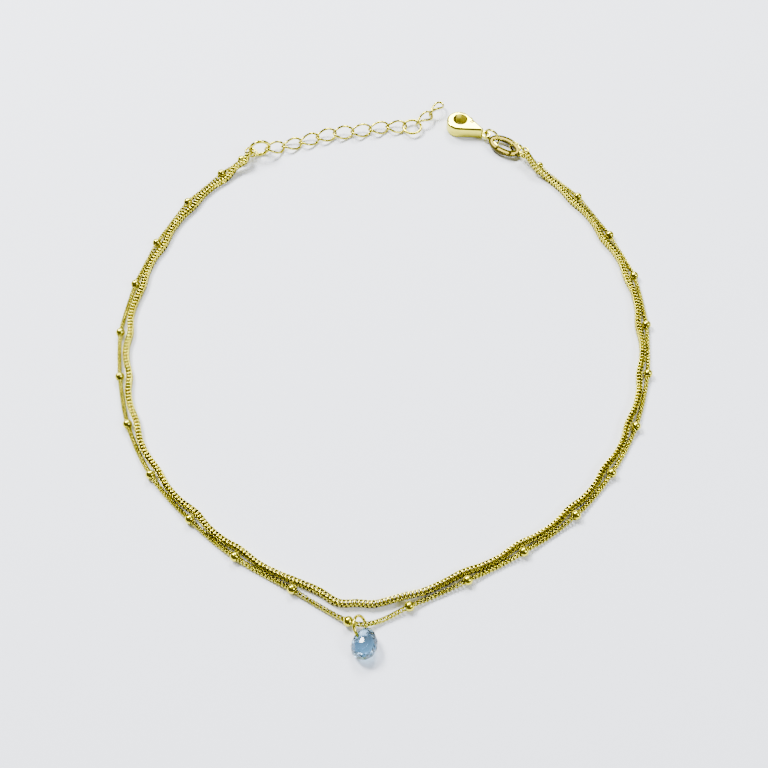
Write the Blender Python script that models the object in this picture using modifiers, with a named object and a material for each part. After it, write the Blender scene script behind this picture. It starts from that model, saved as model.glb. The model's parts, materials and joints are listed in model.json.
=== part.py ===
"""Two-strand charm anklet, lying open on a flat surface: a box chain, a satellite chain threaded with round
balls, a faceted pear drop, a lobster clasp with an oval tag, and an extender of curb links. Metres, +Z up,
and the surface is at z = 0."""

import bmesh
import bpy
from math import acos, atan2, cos, hypot, pi, radians, sin, sqrt, tan
from mathutils import Matrix, Vector

MM = 0.001

# Clearance between pieces that touch on the real anklet, and the slack of one link in the next
CLEARANCE = 0.06 * MM
LINK_SLACK = 0.12 * MM

# Strands: both are round tubes of the chains' outer size, with a soldered loop at each end
BOX_CHAIN_RADIUS = 0.55 * MM
SATELLITE_CHAIN_RADIUS = 0.35 * MM
STRAND_POINT_SPACING = 3.33 * MM
END_RISE_LENGTH = 7.0 * MM
END_LOOP_RADIUS = 0.85 * MM
END_LOOP_WIRE = 0.20 * MM
JUMP_RING_HANG_ANGLE = radians(35)
EXTENDER_HANG_ANGLE = radians(18)
FIRST_LINK_SLACK = 0.30 * MM
TAG_RING_HANG_ANGLE = radians(8)

# Balls threaded on the satellite chain
BALL_RADIUS = 0.80 * MM
BALL_BORE_CLEARANCE = 0.17 * MM

# Rings: each radius runs to the middle of the wire, and each wire value is the wire's radius
JUMP_RING_RADIUS = 1.85 * MM
JUMP_RING_WIRE = 0.30 * MM
CLASP_RING_RADIUS = 1.58 * MM
CLASP_RING_WIRE = 0.22 * MM
TAG_RING_RADIUS = 1.55 * MM
TAG_RING_WIRE = 0.25 * MM
DROP_RING_RADIUS = 1.58 * MM
DROP_RING_WIRE = 0.22 * MM
EXTENDER_RING_RADIUS = 1.75 * MM
EXTENDER_RING_WIRE = 0.25 * MM

# Curb links of the extender: outer length and width, the wire's radius, and the twist from end to middle
LINK_LENGTH = 4.4 * MM
LINK_WIDTH = 2.8 * MM
LINK_WIRE = 0.20 * MM
LINK_TWIST = radians(48)

# Oval tag
TAG_LENGTH = 6.8 * MM
TAG_WIDTH = 4.3 * MM
TAG_THICKNESS = 0.5 * MM
TAG_SLOT_LENGTH = 4.6 * MM
TAG_SLOT_WIDTH = 1.6 * MM
TAG_CHAMFER = 0.12 * MM

# Lobster clasp, in its own frame: x from the eye to the nose, the lever on the -y side, z = 0 halfway up
CLASP_THICKNESS = 2.4 * MM
CLASP_CHAMFER = 0.22 * MM
CLASP_NOSE_RADIUS = 2.4 * MM
CLASP_NOSE_X = 5.9 * MM
CLASP_TAIL_X = 0.7 * MM
CLASP_TAIL_WIDTH = 0.9 * MM
OPENING_RADIUS = 1.45 * MM
OPENING_X = 5.75 * MM
OPENING_Y = -0.25 * MM
EYE_RADIUS = 0.9 * MM
EYE_BORE_RADIUS = 0.52 * MM
EYE_THICKNESS = 0.6 * MM
EYE_PLAY = 0.04 * MM
LEVER_PIVOT = (3.5 * MM, -0.75 * MM)
LEVER_LENGTH = 3.55 * MM
LEVER_ARM_START = 1.33 * MM
LEVER_ROOT_THICKNESS = 1.0 * MM
THUMB_TAB_RADIUS = 0.5 * MM
THUMB_TAB_ANGLE = radians(-55)
RIVET_RADIUS = 0.30 * MM

# Drop: a pear-cut stone drilled near its tip
STONE_LENGTH = 5.0 * MM
STONE_WIDTH = 4.1 * MM
STONE_THICKNESS = 2.6 * MM
STONE_TILT = radians(16)
STONE_HOLE_RADIUS = 0.57 * MM
STONE_HOLE_X = -0.80 * MM
STONE_HOLE_FROM_TIP = 1.45 * MM
HOLE_CHORD_SHIFT = 0.20 * MM

# Mesh fineness
BALL_SIDES = 12
BALL_ARC_STEPS = 6
RING_POINTS = 16
LINK_POINTS = 12
STONE_SIDES = 16
HOLE_SIDES = 12

# Route of the strands from the extender round to the clasp, in millimetres, as they lie. "ball" is the place
# of a ball, "drop" that of the drop's ring and "chain" a bare place. apart is how far the box chain lies
# inside the place where it would touch the ball or, between two balls, the satellite chain.
ROUTE_COLUMNS = ("what", "x", "y", "apart")
STRAND_ROUTE = (
    ("ball", -27.3, 49.5, 0.0),
    ("ball", -30.9, 46.0, 0.0),
    ("ball", -36.6, 39.0, 0.0),
    ("ball", -41.4, 29.4, 0.0),
    ("ball", -44.2, 20.2, 0.0),
    ("ball", -45.6, 9.9, 0.3),
    ("ball", -44.6, 1.0, 0.2),
    ("ball", -42.2, -8.1, 0.1),
    ("ball", -37.4, -17.3, 0.0),
    ("ball", -30.4, -25.0, 0.0),
    ("ball", -22.9, -31.2, 0.0),
    ("ball", -13.9, -36.4, 0.0),
    ("ball", -5.3, -41.4, 1.7),
    ("drop", -3.3, -42.0, 2.0),
    ("chain", -0.5, -41.2, 1.3),
    ("ball", 3.8, -39.1, 0.4),
    ("ball", 12.7, -35.0, 0.0),
    ("ball", 21.5, -30.4, 0.0),
    ("ball", 30.1, -24.3, 0.0),
    ("ball", 36.5, -17.0, 0.0),
    ("ball", 41.4, -8.5, 0.0),
    ("ball", 44.6, 1.6, 0.0),
    ("ball", 45.6, 11.5, 0.0),
    ("ball", 44.7, 22.0, 0.0),
    ("ball", 41.3, 31.2, 0.0),
    ("ball", 36.3, 40.3, 0.0),
    ("ball", 29.7, 47.9, 0.0),
)

# The standing rings at the strands' two ends: where they are, which way they face and how far they lean
JUMP_RING_PLACE = (-23.8 * MM, 51.2 * MM)
JUMP_RING_HEADING = radians(14)
JUMP_RING_LEAN = radians(-5)
TAG_RING_PLACE = (25.6 * MM, 51.2 * MM)
TAG_RING_HEADING = radians(143)
TAG_RING_LEAN = radians(5)

# Which way the end loops point from those two rings
SATELLITE_LOOP_HEADINGS = (radians(207), radians(-40))
BOX_LOOP_HEADINGS = (radians(243), radians(-66))

# How each link of the extender lies: its heading and how far it is rolled over, in degrees
EXTENDER_LINKS = (
    (26, 10),
    (18, 4),
    (19, 8),
    (16, 20),
    (6, 32),
    (12, 24),
    (14, 14),
    (-2, 14),
)
TAIL_LINKS = (
    (42, -22),
    (52, -40),
)

# Headings of the tag, the clasp's ring and the clasp
TAG_HEADING = radians(144)
CLASP_RING_HEADING = radians(141)
CLASP_RING_LEAN = radians(5)
CLASP_HEADING = radians(152)

# The drop's ring: its way down to the stone, its way up over the chain, and where the chain is in it
DROP_RING_DOWN = Vector((0.10, -0.98, -0.17))
DROP_RING_UP = Vector((-0.55, -0.20, 0.81))
DROP_CHAIN_ANGLE = radians(235)
STONE_HEADING = radians(79)

UP = Vector((0.0, 0.0, 1.0))


for leftover in list(bpy.data.objects):
    bpy.data.objects.remove(leftover, do_unlink=True)

anklet = bpy.data.collections.new("charm_anklet")
bpy.context.scene.collection.children.link(anklet)
cutters = bpy.data.collections.new("cutters")
cutters.hide_render = True
bpy.context.scene.collection.children.link(cutters)

origin = bpy.data.objects.new("origin", None)
anklet.objects.link(origin)


# Materials
def material(name, colour, metallic, roughness):
    made = bpy.data.materials.new(name)
    made.use_nodes = True
    shader = made.node_tree.nodes["Principled BSDF"]
    shader.inputs["Base Color"].default_value = (*colour, 1.0)
    shader.inputs["Metallic"].default_value = metallic
    shader.inputs["Roughness"].default_value = roughness
    return made


def gold(name, roughness):
    return material(name, (0.80, 0.66, 0.24), 1.0, roughness)


# Objects
def add_object(name, data, finish, matrix=None, parent=origin):
    made = bpy.data.objects.new(name, data)
    anklet.objects.link(made)
    made.parent = parent
    if matrix is not None:
        made.matrix_local = matrix
    if finish is not None and not data.materials:
        data.materials.append(finish)
    return made


def as_helper(made):
    """A shape that only cuts or joins another, kept out of the model."""
    anklet.objects.unlink(made)
    cutters.objects.link(made)
    made.hide_render = True
    made.display_type = "WIRE"
    return made


def smooth_shaded(mesh):
    mesh.shade_smooth()
    mesh.set_sharp_from_angle(angle=radians(35))


def meshed(name, curve, finish, matrix=None, parent=origin):
    """A curve made a mesh object, its loose caps welded to its sides."""
    drawn = add_object(name + "_curve", curve, None, matrix, parent)
    bpy.context.view_layer.update()
    graph = bpy.context.evaluated_depsgraph_get()
    mesh = bpy.data.meshes.new_from_object(drawn.evaluated_get(graph))
    placed = drawn.matrix_local.copy()
    bpy.data.objects.remove(drawn, do_unlink=True)
    mesh.name = name
    shape = bmesh.new()
    shape.from_mesh(mesh)
    bmesh.ops.remove_doubles(shape, verts=shape.verts, dist=0.0001 * MM)
    bmesh.ops.recalc_face_normals(shape, faces=shape.faces)
    shape.to_mesh(mesh)
    shape.free()
    smooth_shaded(mesh)
    return add_object(name, mesh, finish, placed, parent)


def add_boolean(made, operation, other):
    step = made.modifiers.new(other.name, "BOOLEAN")
    step.operation = operation
    step.solver = "EXACT"
    step.object = as_helper(other)


def frame_at(place, along, across):
    """A matrix at a place, its x along one direction and its y as near as can be to another."""
    along = along.normalized()
    normal = along.cross(across).normalized()
    matrix = Matrix.Identity(4)
    for column, axis in enumerate((along, normal.cross(along), normal)):
        matrix.col[column].xyz = axis
    matrix.translation = place
    return matrix


def heading_vector(angle):
    return Vector((cos(angle), sin(angle), 0.0))


# Curves and outlines
def wire_curve(name, points, radius, closed, fineness):
    curve = bpy.data.curves.new(name, "CURVE")
    curve.dimensions = "3D"
    curve.bevel_depth = radius
    curve.bevel_resolution = fineness
    curve.use_fill_caps = True
    spline = curve.splines.new("POLY")
    spline.points.add(len(points) - 1)
    for point, place in zip(spline.points, points):
        point.co = (*place, 1.0)
    spline.use_cyclic_u = closed
    return curve


def plate_curve(name, outlines, thickness, chamfer=0.0):
    """A flat plate: the first outline is its edge, the others are its holes, and the edges are chamfered."""
    curve = bpy.data.curves.new(name, "CURVE")
    curve.dimensions = "2D"
    curve.fill_mode = "BOTH"
    curve.extrude = thickness / 2 - chamfer
    curve.bevel_depth = chamfer
    curve.bevel_resolution = 0
    curve.offset = -chamfer
    for outline in outlines:
        spline = curve.splines.new("POLY")
        spline.points.add(len(outline) - 1)
        for point, (x, y) in zip(spline.points, outline):
            point.co = (x, y, 0.0, 1.0)
        spline.use_cyclic_u = True
    return curve


def oval(centre, half_length, half_width, count):
    turns = [2 * pi * step / count for step in range(count)]
    return [(centre[0] + half_length * cos(turn), centre[1] + half_width * sin(turn)) for turn in turns]


def arc(centre, radius, start, end, steps):
    turns = [start + (end - start) * step / steps for step in range(steps + 1)]
    return [(centre[0] + radius * cos(turn), centre[1] + radius * sin(turn)) for turn in turns]


def from_pivot(outline):
    return [(x - LEVER_PIVOT[0], y - LEVER_PIVOT[1]) for x, y in outline]


# Rings
def add_ring(name, radius, wire, matrix, finish):
    points = [(x, y, 0.0) for x, y in oval((0.0, 0.0), radius, radius, RING_POINTS)]
    return add_object(name, wire_curve(name, points, wire, True, 1), finish, matrix)


def inside(radius, wire, points):
    """The radius that is free inside a ring whose wire is drawn as a polygon."""
    return radius * cos(pi / points) - wire


class StandingRing:
    """A jump ring that stands on the surface, leaning a little, with flat pieces passing through it."""

    def __init__(self, place, heading, lean, radius, wire, hang_angle):
        self.radius = radius
        self.wire = wire
        self.lean = lean
        self.inner = inside(radius, wire, RING_POINTS)
        self.along = heading_vector(heading)
        self.up = heading_vector(heading + pi / 2) * sin(lean) + UP * cos(lean)
        self.height = radius * cos(lean) + wire
        self.centre = Vector((*place, self.height))
        self.hang_height = self.height - radius * sin(hang_angle)

    def depth(self, height):
        """How far below the middle a height is, measured in the ring's plane."""
        return (self.height - height) / cos(self.lean)

    def wire_at(self, height, side):
        """The middle of the wire at a height, on the side of the ring's heading (1) or the other (-1)."""
        depth = self.depth(height)
        return self.centre + self.along * side * sqrt(self.radius**2 - depth**2) - self.up * depth

    def slant(self, height):
        """How far the wire leans towards the ring's middle at a height."""
        return atan2(self.depth(height), sqrt(self.radius**2 - self.depth(height) ** 2))

    def matrix(self):
        return frame_at(self.centre, self.along, self.up)

    def seat_height(self, bar_width):
        """How low a flat bar of this width can lie across the ring's inside."""
        drop = sqrt(self.inner**2 - (bar_width / 2 + CLEARANCE) ** 2)
        return self.height - cos(self.lean) * drop + CLEARANCE


ring_gold = gold("ring_gold", 0.18)
jump_ring = StandingRing(
    JUMP_RING_PLACE,
    JUMP_RING_HEADING,
    JUMP_RING_LEAN,
    JUMP_RING_RADIUS,
    JUMP_RING_WIRE,
    JUMP_RING_HANG_ANGLE,
)
tag_ring = StandingRing(
    TAG_RING_PLACE,
    TAG_RING_HEADING,
    TAG_RING_LEAN,
    TAG_RING_RADIUS,
    TAG_RING_WIRE,
    TAG_RING_HANG_ANGLE,
)
add_ring("extender_jump_ring", JUMP_RING_RADIUS, JUMP_RING_WIRE, jump_ring.matrix(), ring_gold)
add_ring("tag_ring", TAG_RING_RADIUS, TAG_RING_WIRE, tag_ring.matrix(), ring_gold)

# The drop's ring stands on the surface, tilted, and holds the satellite chain up a little where it passes
drop_turn = frame_at(Vector(), DROP_RING_DOWN, DROP_RING_UP)
drop_down = drop_turn.col[0].xyz
drop_up = drop_turn.col[1].xyz
drop_ring_height = DROP_RING_RADIUS * hypot(drop_down.z, drop_up.z) + DROP_RING_WIRE
chain_room = SATELLITE_CHAIN_RADIUS / abs(drop_turn.col[2].x) + CLEARANCE
chain_in_ring = drop_down * cos(DROP_CHAIN_ANGLE) + drop_up * sin(DROP_CHAIN_ANGLE)
chain_in_ring *= inside(DROP_RING_RADIUS, DROP_RING_WIRE, RING_POINTS) - 4 * CLEARANCE - chain_room


# End loops
class EndLoop:
    """The flat loop soldered to a strand's end, round the wire of a standing ring."""

    def __init__(self, ring, height, heading):
        slant = ring.slant(height)
        wire_room = ring.wire / cos(slant) + END_LOOP_WIRE * abs(tan(slant)) + 2 * CLEARANCE
        play = max(0.0, inside(END_LOOP_RADIUS, END_LOOP_WIRE, LINK_POINTS) - wire_room)
        self.direction = heading_vector(heading)
        self.centre = ring.wire_at(height, -1) + self.direction * play
        self.rim = self.centre + self.direction * END_LOOP_RADIUS


end_rings = (jump_ring, tag_ring)
loop_rise = END_LOOP_WIRE + BOX_CHAIN_RADIUS + 2 * CLEARANCE
satellite_loops = [
    EndLoop(ring, ring.hang_height, heading) for ring, heading in zip(end_rings, SATELLITE_LOOP_HEADINGS)
]
box_loops = [
    EndLoop(ring, ring.hang_height + loop_rise, heading)
    for ring, heading in zip(end_rings, BOX_LOOP_HEADINGS)
]


# Smooth routes
def smooth_point(before, start, end, after, share):
    """A point of the centripetal Catmull-Rom curve between start and end."""
    knots = [0.0]
    for first, second in ((before, start), (start, end), (end, after)):
        knots.append(knots[-1] + sqrt((second - first).length))
    here = knots[1] + (knots[2] - knots[1]) * share

    def blend(first, second, low, high):
        return first * ((high - here) / (high - low)) + second * ((here - low) / (high - low))

    first = blend(before, start, knots[0], knots[1])
    middle = blend(start, end, knots[1], knots[2])
    last = blend(end, after, knots[2], knots[3])
    early = blend(first, middle, knots[0], knots[2])
    late = blend(middle, last, knots[1], knots[3])
    return blend(early, late, knots[1], knots[2])


def smooth_stretches(places):
    """A list of points for each stretch from one place to the next, along a smooth curve."""
    padded = [2 * places[0] - places[1], *places, 2 * places[-1] - places[-2]]
    stretches = []
    for index in range(1, len(places)):
        before, start, end, after = padded[index - 1 : index + 3]
        steps = max(1, round((end - start).length / STRAND_POINT_SPACING))
        stretches.append([smooth_point(before, start, end, after, step / steps) for step in range(steps)])
    return stretches


def flat(place):
    return Vector((place.x, place.y, 0.0))


# Strands
place_heights = {
    "ball": BALL_RADIUS,
    "drop": drop_ring_height + chain_in_ring.z,
    "chain": SATELLITE_CHAIN_RADIUS,
}
rows = [dict(zip(ROUTE_COLUMNS, row)) for row in STRAND_ROUTE]
route = [Vector((row["x"] * MM, row["y"] * MM, place_heights[row["what"]])) for row in rows]


def satellite_points():
    """The satellite chain rises to each ball's middle and lies on the surface between them."""
    places = [satellite_loops[0].rim, *route, satellite_loops[1].rim]
    points = []
    place_numbers = []
    for stretch in smooth_stretches(places):
        for point in stretch[1:]:
            point.z = SATELLITE_CHAIN_RADIUS
        place_numbers.append(len(points))
        points += stretch
    return [*points, places[-1]], place_numbers[1:]


def way_at(points, number):
    """Which way a row of points runs at one of them."""
    before, here, after = points[number - 1 : number + 2]
    return ((here - before).normalized() + (after - here).normalized()).normalized()


satellite_route, place_numbers = satellite_points()
ways = [way_at(satellite_route, number) for number in place_numbers]


def beside(radius, clearance):
    """How far to the side the box chain lies from a round piece of this radius, both on the surface."""
    return sqrt((radius + BOX_CHAIN_RADIUS + clearance) ** 2 - (radius - BOX_CHAIN_RADIUS) ** 2)


def inward_of(number, distance):
    """A place at this distance inside one of the satellite chain's points."""
    return satellite_route[number] + UP.cross(way_at(satellite_route, number)).normalized() * distance


def box_points():
    """The box chain lies along the satellite chain and its balls, and rises smoothly to its end loops."""
    beside_ball = beside(BALL_RADIUS, CLEARANCE)
    beside_chain = beside(SATELLITE_CHAIN_RADIUS, 2 * CLEARANCE)
    places = [box_loops[0].rim]
    for index, (row, number) in enumerate(zip(rows, place_numbers)):
        places.append(inward_of(number, beside_ball + row["apart"] * MM))
        pair = rows[index : index + 2]
        if [end["what"] for end in pair] == ["ball", "ball"]:
            apart = sum(end["apart"] for end in pair) / 2 * MM
            for between in range(number + 1, place_numbers[index + 1]):
                places.append(inward_of(between, beside_chain + apart))
    places.append(box_loops[1].rim)
    points = [point for stretch in smooth_stretches(places) for point in stretch] + [places[-1]]
    points = [Vector((point.x, point.y, BOX_CHAIN_RADIUS)) for point in points]
    for loop, ordered in ((box_loops[0], points), (box_loops[1], points[::-1])):
        distance = 0.0
        for index, point in enumerate(ordered):
            distance += (flat(point) - flat(ordered[max(index - 1, 0)])).length
            share = min(distance / END_RISE_LENGTH, 1.0)
            point.z += (loop.rim.z - BOX_CHAIN_RADIUS) * (1 - share**2 * (3 - 2 * share))
    return points


def add_strand(name, points, radius, loops, finish):
    strand = meshed(name, wire_curve(name, points, radius, False, 2), finish)
    for end, loop in zip(("start", "end"), loops):
        ring = [(x, y, 0.0) for x, y in oval((0.0, 0.0), END_LOOP_RADIUS, END_LOOP_RADIUS, LINK_POINTS)]
        matrix = frame_at(loop.centre, loop.direction, UP.cross(loop.direction))
        curve = wire_curve(name, ring, END_LOOP_WIRE, True, 1)
        add_boolean(strand, "UNION", meshed(f"{name}_{end}_loop", curve, None, matrix))


chain_gold = gold("chain_gold", 0.25)
add_strand("satellite_chain", satellite_route, SATELLITE_CHAIN_RADIUS, satellite_loops, chain_gold)
add_strand("box_chain", box_points(), BOX_CHAIN_RADIUS, box_loops, chain_gold)


# Balls
def ball_mesh(name):
    """The profile of a drilled ball, for a screw about z: down its outer side and back up its bore."""
    bore = SATELLITE_CHAIN_RADIUS + BALL_BORE_CLEARANCE
    widest = acos(bore / BALL_RADIUS)
    outline = arc((0.0, 0.0), BALL_RADIUS, widest, -widest, BALL_ARC_STEPS)
    mesh = bpy.data.meshes.new(name)
    edges = [(index, (index + 1) % len(outline)) for index in range(len(outline))]
    mesh.from_pydata([(x, 0.0, z) for x, z in outline], edges, [])
    return mesh


def add_ball(name, mesh, place, way, finish):
    down = UP.cross(way).cross(way)
    ball = add_object(name, mesh, finish, frame_at(place, down, way.cross(down)))
    screw = ball.modifiers.new("Turned", "SCREW")
    screw.axis = "Z"
    screw.steps = BALL_SIDES
    screw.render_steps = BALL_SIDES
    screw.use_merge_vertices = True
    screw.merge_threshold = 0.001 * MM
    screw.use_smooth_shade = True


ball_gold = gold("ball_gold", 0.15)
ball = ball_mesh("ball")
ball_places = [(place, way) for row, place, way in zip(rows, route, ways) if row["what"] == "ball"]
for number, (place, way) in enumerate(ball_places, 1):
    add_ball(f"bead_{number:02d}", ball, place, way, ball_gold)


# Extender
def link_points():
    """A flat oval twisted about its length, so that it lies flat and still passes through the next."""
    half_length = LINK_LENGTH / 2 - LINK_WIRE
    half_width = LINK_WIDTH / 2 - LINK_WIRE
    points = []
    for step in range(LINK_POINTS):
        turn = 2 * pi * step / LINK_POINTS
        twist = LINK_TWIST * cos(turn)
        across = half_width * sin(turn)
        points.append(Vector((half_length * cos(turn), across * cos(twist), across * sin(twist))))
    return points


def lying_height(roll):
    """The height of a link's middle when it lies on the surface rolled over by this angle."""
    rolled = [point.y * sin(roll) + point.z * cos(roll) for point in link_points()]
    return LINK_WIRE - min(rolled)


def add_link(name, start, heading, roll, end_height, finish):
    """Adds a link from the inside of its start end, and returns the place inside its other end."""
    span = LINK_LENGTH - 4 * LINK_WIRE
    rise = end_height - start.z
    along = heading_vector(heading) * sqrt(span**2 - rise**2) + UP * rise
    across = UP.cross(along).normalized()
    matrix = frame_at(start + along / 2, along, across) @ Matrix.Rotation(roll, 4, "X")
    add_object(name, link_data, finish, matrix)
    return start + along


link_gold = gold("link_gold", 0.2)
link_data = wire_curve("extender_link", link_points(), LINK_WIRE, True, 1)
heights = [lying_height(radians(roll)) for heading, roll in EXTENDER_LINKS + TAIL_LINKS]
end = jump_ring.wire_at(jump_ring.height - JUMP_RING_RADIUS * sin(EXTENDER_HANG_ANGLE), 1)
grip = JUMP_RING_WIRE + FIRST_LINK_SLACK
for index, (heading, roll) in enumerate(EXTENDER_LINKS):
    direction = heading_vector(radians(heading))
    start = end - direction * grip
    end_height = max(heights[index : index + 2])
    name = f"extender_link_{index + 1}"
    end = add_link(name, start, radians(heading), radians(roll), end_height, link_gold)
    grip = LINK_SLACK

ring_inner = inside(EXTENDER_RING_RADIUS, EXTENDER_RING_WIRE, RING_POINTS)
ring_centre = end + direction * (ring_inner - LINK_SLACK)
ring_matrix = frame_at(ring_centre, direction, UP.cross(direction))
add_ring("extender_end_ring", EXTENDER_RING_RADIUS, EXTENDER_RING_WIRE, ring_matrix, ring_gold)
end = ring_centre
held = ring_inner
for number, (heading, roll) in enumerate(TAIL_LINKS, len(EXTENDER_LINKS)):
    direction = heading_vector(radians(heading))
    start = end + direction * (held - LINK_SLACK)
    end_height = max(heights[number : number + 2])
    name = f"extender_link_{number + 1}"
    end = add_link(name, start, radians(heading), radians(roll), end_height, link_gold)
    held = 0.0

# Tag and the clasp's ring
tag_direction = heading_vector(TAG_HEADING)
bridge = (TAG_LENGTH - TAG_SLOT_LENGTH) / 2
tag_reach = TAG_SLOT_LENGTH / 2 + bridge / 2
clasp_ring_place = flat(tag_ring.centre + tag_direction * (TAG_SLOT_LENGTH + bridge))
clasp_ring = StandingRing(
    clasp_ring_place.to_2d(), CLASP_RING_HEADING, CLASP_RING_LEAN, CLASP_RING_RADIUS, CLASP_RING_WIRE, 0.0
)
tag_centre = tag_ring.centre + tag_direction * tag_reach
tag_centre.z = max(tag_ring.seat_height(bridge), clasp_ring.seat_height(bridge)) + TAG_THICKNESS / 2
tag_outlines = (
    oval((0.0, 0.0), TAG_LENGTH / 2, TAG_WIDTH / 2, 24),
    oval((0.0, 0.0), TAG_SLOT_LENGTH / 2, TAG_SLOT_WIDTH / 2, 16),
)
meshed(
    "tag",
    plate_curve("tag", tag_outlines, TAG_THICKNESS, TAG_CHAMFER),
    gold("tag_gold", 0.2),
    frame_at(tag_centre, tag_direction, UP.cross(tag_direction)),
)
add_ring("clasp_ring", CLASP_RING_RADIUS, CLASP_RING_WIRE, clasp_ring.matrix(), ring_gold)

# Clasp frame: an empty at the eye, halfway up the clasp
clasp_frame = bpy.data.objects.new("clasp_frame", None)
anklet.objects.link(clasp_frame)
clasp_frame.parent = origin
clasp_frame.location = clasp_ring.wire_at(CLASP_THICKNESS / 2, 1) + heading_vector(CLASP_HEADING) * EYE_PLAY
clasp_frame.rotation_euler.z = CLASP_HEADING


def clasp_outline():
    """A teardrop: the round nose, and two straight sides that touch it and run to the tail."""
    half = CLASP_TAIL_WIDTH / 2
    run = CLASP_TAIL_X - CLASP_NOSE_X
    shoulder = atan2(half, run) - acos(CLASP_NOSE_RADIUS / hypot(half, run))
    nose = arc((CLASP_NOSE_X, 0.0), CLASP_NOSE_RADIUS, -shoulder, shoulder, 18)
    return [*nose, (CLASP_TAIL_X, half), (CLASP_TAIL_X, -half)]


def opening_outline():
    return oval((OPENING_X, OPENING_Y), OPENING_RADIUS, OPENING_RADIUS, 20)


def lever_sector(inner, outer, start, end):
    """The band between two arcs about the lever's pivot, measured from the pivot."""
    return arc((0.0, 0.0), outer, start, end, 12) + arc((0.0, 0.0), inner, end, start, 12)


def pivot_disc(radius, sides=HOLE_SIDES):
    return oval((0.0, 0.0), radius, radius, sides)


def at_pivot(name, outlines, thickness, finish=None, chamfer=0.0):
    """A plate in the clasp's frame, its outlines measured from the pivot."""
    place = Matrix.Translation((*LEVER_PIVOT, 0.0))
    return meshed(name, plate_curve(name, outlines, thickness, chamfer), finish, place, clasp_frame)


# Clasp body: the hook with its eye, forked round the lever's root
through_all = CLASP_THICKNESS * 2
root_radius = LEVER_ARM_START + 2 * CLEARANCE
slot_radius = root_radius + 1.5 * CLEARANCE
bore_radius = RIVET_RADIUS + CLEARANCE
clasp_gold = gold("clasp_gold", 0.12)
body = meshed(
    "clasp_body",
    plate_curve("clasp_body", (clasp_outline(), opening_outline()), CLASP_THICKNESS, CLASP_CHAMFER),
    clasp_gold,
    parent=clasp_frame,
)
eye_outlines = (pivot_disc(EYE_RADIUS, 16), pivot_disc(EYE_BORE_RADIUS, 12))
eye_curve = plate_curve("clasp_eye", eye_outlines, EYE_THICKNESS, EYE_THICKNESS / 6)
gate = lever_sector(
    LEVER_ARM_START - 1.5 * CLEARANCE, LEVER_LENGTH + 1.5 * CLEARANCE, radians(-100), radians(10)
)
add_boolean(body, "UNION", meshed("clasp_eye", eye_curve, None, parent=clasp_frame))
add_boolean(body, "DIFFERENCE", at_pivot("clasp_gate_cut", [gate], through_all))
slot_thickness = LEVER_ROOT_THICKNESS + 2 * CLEARANCE
add_boolean(body, "DIFFERENCE", at_pivot("clasp_slot_cut", [pivot_disc(slot_radius, 24)], slot_thickness))
add_boolean(body, "DIFFERENCE", at_pivot("clasp_rivet_cut", [pivot_disc(bore_radius)], through_all))

# Lever: its arm closes the hook, its root sits in the fork, and its thumb tab stands out at the side
lever_gold = gold("lever_gold", 0.15)
lever_outlines = [from_pivot(clasp_outline()), from_pivot(opening_outline())]
lever = at_pivot("clasp_lever", lever_outlines, CLASP_THICKNESS, lever_gold, CLASP_CHAMFER)
root = at_pivot("lever_root", lever_outlines, LEVER_ROOT_THICKNESS)
add_boolean(root, "INTERSECT", at_pivot("lever_root_disc", [pivot_disc(root_radius, 24)], through_all))
tab_place = (cos(THUMB_TAB_ANGLE), sin(THUMB_TAB_ANGLE))
tab_reach = LEVER_ARM_START + 2 * CLEARANCE
tab_outline = oval([share * tab_reach for share in tab_place], THUMB_TAB_RADIUS, THUMB_TAB_RADIUS, 12)
arm = lever_sector(LEVER_ARM_START, LEVER_LENGTH, radians(-92), radians(0))
add_boolean(lever, "INTERSECT", at_pivot("lever_arm", [arm], through_all))
add_boolean(lever, "UNION", root)
add_boolean(lever, "UNION", at_pivot("lever_tab", [tab_outline], LEVER_ROOT_THICKNESS * 0.96))
add_boolean(lever, "DIFFERENCE", at_pivot("lever_rivet_cut", [pivot_disc(bore_radius)], through_all))

# Rivet: through the fork and the lever, flush with both faces
at_pivot("clasp_rivet", [pivot_disc(RIVET_RADIUS)], CLASP_THICKNESS, gold("rivet_gold", 0.2))

# Drop ring
drop_route = route[[row["what"] for row in rows].index("drop")]
drop_ring_centre = drop_route - chain_in_ring
drop_ring_matrix = frame_at(drop_ring_centre, drop_down, drop_up)
add_ring("drop_ring", DROP_RING_RADIUS, DROP_RING_WIRE, drop_ring_matrix, ring_gold)

# The cut of the stone: each row is one ring of corners, as shares of its outline and of half its thickness,
# and whether its corners stand between those of the rows next to it
CUT_COLUMNS = ("outline", "height", "between")
STONE_CUT = (
    (0.45, 1.00, False),
    (0.74, 0.76, True),
    (0.93, 0.42, False),
    (1.00, 0.08, True),
    (1.00, -0.08, True),
    (0.93, -0.42, False),
    (0.74, -0.76, True),
    (0.45, -1.00, False),
)
PEAR_POINTEDNESS = 0.3


def pear_outline():
    """The pear's outline from its tip round, twice as fine as the stone's sides."""
    turns = [pi * step / STONE_SIDES for step in range(2 * STONE_SIDES)]
    across = [sin(turn) * abs(sin(turn / 2)) ** PEAR_POINTEDNESS for turn in turns]
    widest = max(across)
    return [(STONE_WIDTH / 2 * x / widest, STONE_LENGTH / 2 * cos(turn)) for x, turn in zip(across, turns)]


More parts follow.
